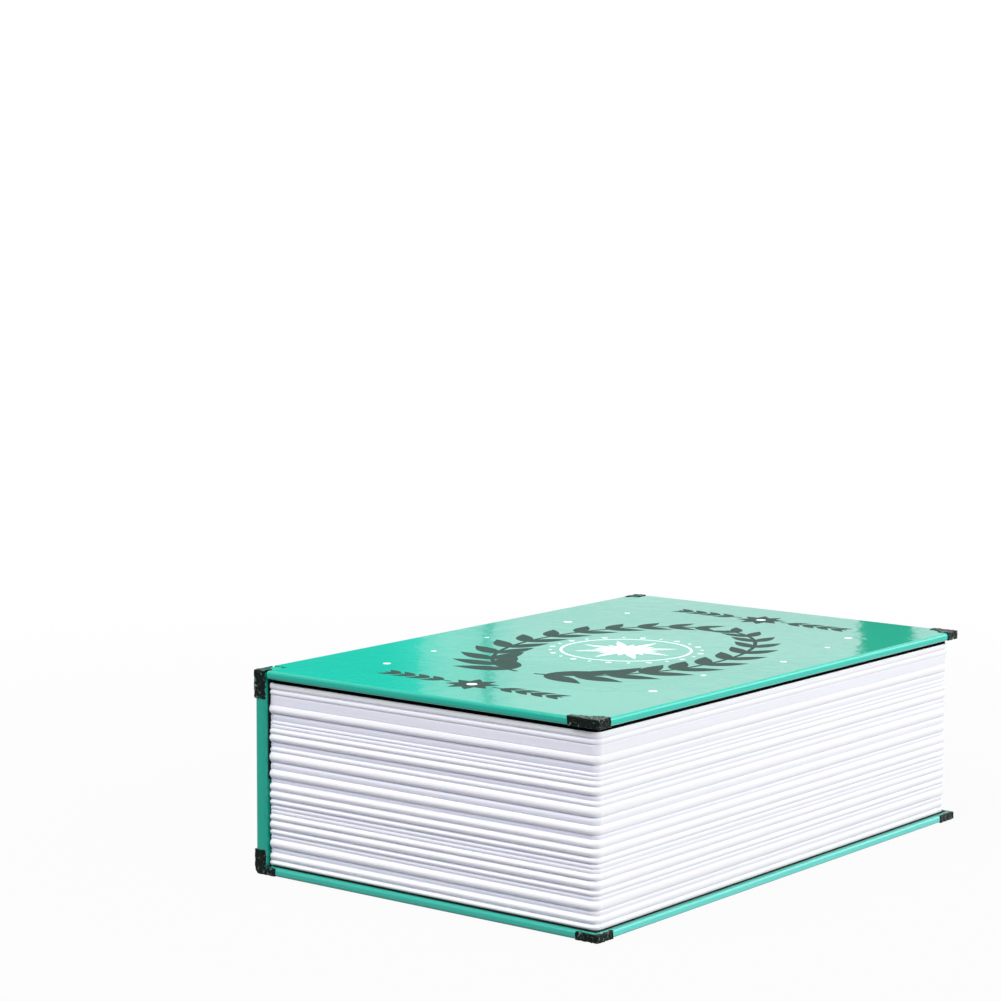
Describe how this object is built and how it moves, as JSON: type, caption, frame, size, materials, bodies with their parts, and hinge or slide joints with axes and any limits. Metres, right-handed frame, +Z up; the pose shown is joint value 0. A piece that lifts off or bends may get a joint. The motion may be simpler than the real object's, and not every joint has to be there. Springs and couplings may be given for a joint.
{
  "type": "book diversion safe",
  "caption": "Book-shaped safe: hardback case and ribbed page block that hide a steel box, its hinged lid locked by number dials and a knob.",
  "frame": {"origin": "middle of the book's underside, on the surface it lies on", "axes": "+X from the spine to the fore edge, +Y from the tail to the head, +Z up out of the front cover"},
  "size_m": [0.1164, 0.18, 0.057],
  "materials": {
    "cover_laminate": "gloss laminated printed paper, teal",
    "corner_leatherette": "glossy black leatherette paper",
    "greyboard": "raw binder's board",
    "endpaper": "plain black lining paper",
    "page_plastic": "moulded white plastic with ribs like page edges",
    "foam_strip": "black closed-cell foam bonding strip",
    "box_steel": "charcoal textured powder coat",
    "zinc_steel": "zinc plated",
    "lock_plastic": "fine-grained black moulding",
    "gilt_bead": "polished gilt"
  },
  "bodies": {
    "base": {"back_wrap": "cover_laminate", "back_board": "greyboard", "back_endpaper": "endpaper", "corner_back_tail_fore": "corner_leatherette", "corner_back_head_fore": "corner_leatherette", "spine_wrap": "cover_laminate", "spine_board": "greyboard", "front_joint": "cover_laminate", "back_joint": "cover_laminate", "joint_lining": "endpaper", "corner_spine_top_tail": "corner_leatherette", "corner_spine_top_head": "corner_leatherette", "corner_spine_low_tail": "corner_leatherette", "corner_spine_low_head": "corner_leatherette", "page_shell": "page_plastic", "shell_strip": "foam_strip", "box_tray": "box_steel", "latch_keeper": "zinc_steel", "tray_hinge_leaf": "zinc_steel", "hinge_pin": "zinc_steel"},
    "front_cover": {"front_wrap": "cover_laminate", "front_board": "greyboard", "front_endpaper": "endpaper", "corner_front_tail_fore": "corner_leatherette", "corner_front_head_fore": "corner_leatherette", "page_frame": "page_plastic", "frame_strip": "foam_strip"},
    "lid": {"box_lid": "box_steel", "lid_hinge_leaf": "zinc_steel", "lock_face": "lock_plastic", "lock_bead": "gilt_bead", "lock_housing": "lock_plastic", "dial_axle": "zinc_steel", "detent_spring": "zinc_steel", "lock_screw_1": "zinc_steel", "lock_screw_2": "zinc_steel", "lock_screw_3": "zinc_steel", "lock_screw_4": "zinc_steel"},
    "dial_1": {"dial_1": "lock_plastic"},
    "dial_2": {"dial_2": "lock_plastic"},
    "dial_3": {"dial_3": "lock_plastic"},
    "locking_bar": {"locking_bar": "zinc_steel"},
    "knob": {"knob": "lock_plastic", "spindle": "zinc_steel", "latch_arm": "zinc_steel", "latch_nut": "zinc_steel"}
  },
  "joints": [
    {"name": "cover_hinge", "type": "hinge", "parent": "base", "child": "front_cover", "pos_m": [-0.05435, 0, 0.05705], "axis": [0, -1, 0], "range_deg": [0, 180]},
    {"name": "lid_hinge", "type": "hinge", "parent": "base", "child": "lid", "pos_m": [-0.0514, 0, 0.05025], "axis": [0, -1, 0], "range_deg": [0, 95]},
    {"name": "knob_turn", "type": "hinge", "parent": "lid", "child": "knob", "pos_m": [0.03495, -0.057, 0.04955], "axis": [0, 0, -1], "range_deg": [0, 90]},
    {"name": "bar_slide", "type": "slide", "parent": "lid", "child": "locking_bar", "axis": [1, 0, 0], "range_m": [0, 0.0007]},
    {"name": "dial_1_spin", "type": "hinge", "parent": "lid", "child": "dial_1", "pos_m": [-0.00545, -0.057, 0.04215], "axis": [1, 0, 0], "continuous": true},
    {"name": "dial_2_spin", "type": "hinge", "parent": "lid", "child": "dial_2", "pos_m": [0.00325, -0.057, 0.04215], "axis": [1, 0, 0], "continuous": true},
    {"name": "dial_3_spin", "type": "hinge", "parent": "lid", "child": "dial_3", "pos_m": [0.01195, -0.057, 0.04215], "axis": [1, 0, 0], "continuous": true}
  ],
  "couplings": [
    {"joint": "lid_hinge", "follows": "cover_hinge", "ratio": 0.5277},
    {"joint": "bar_slide", "follows": "knob_turn", "m_per_rad": 0.000445}
  ]
}
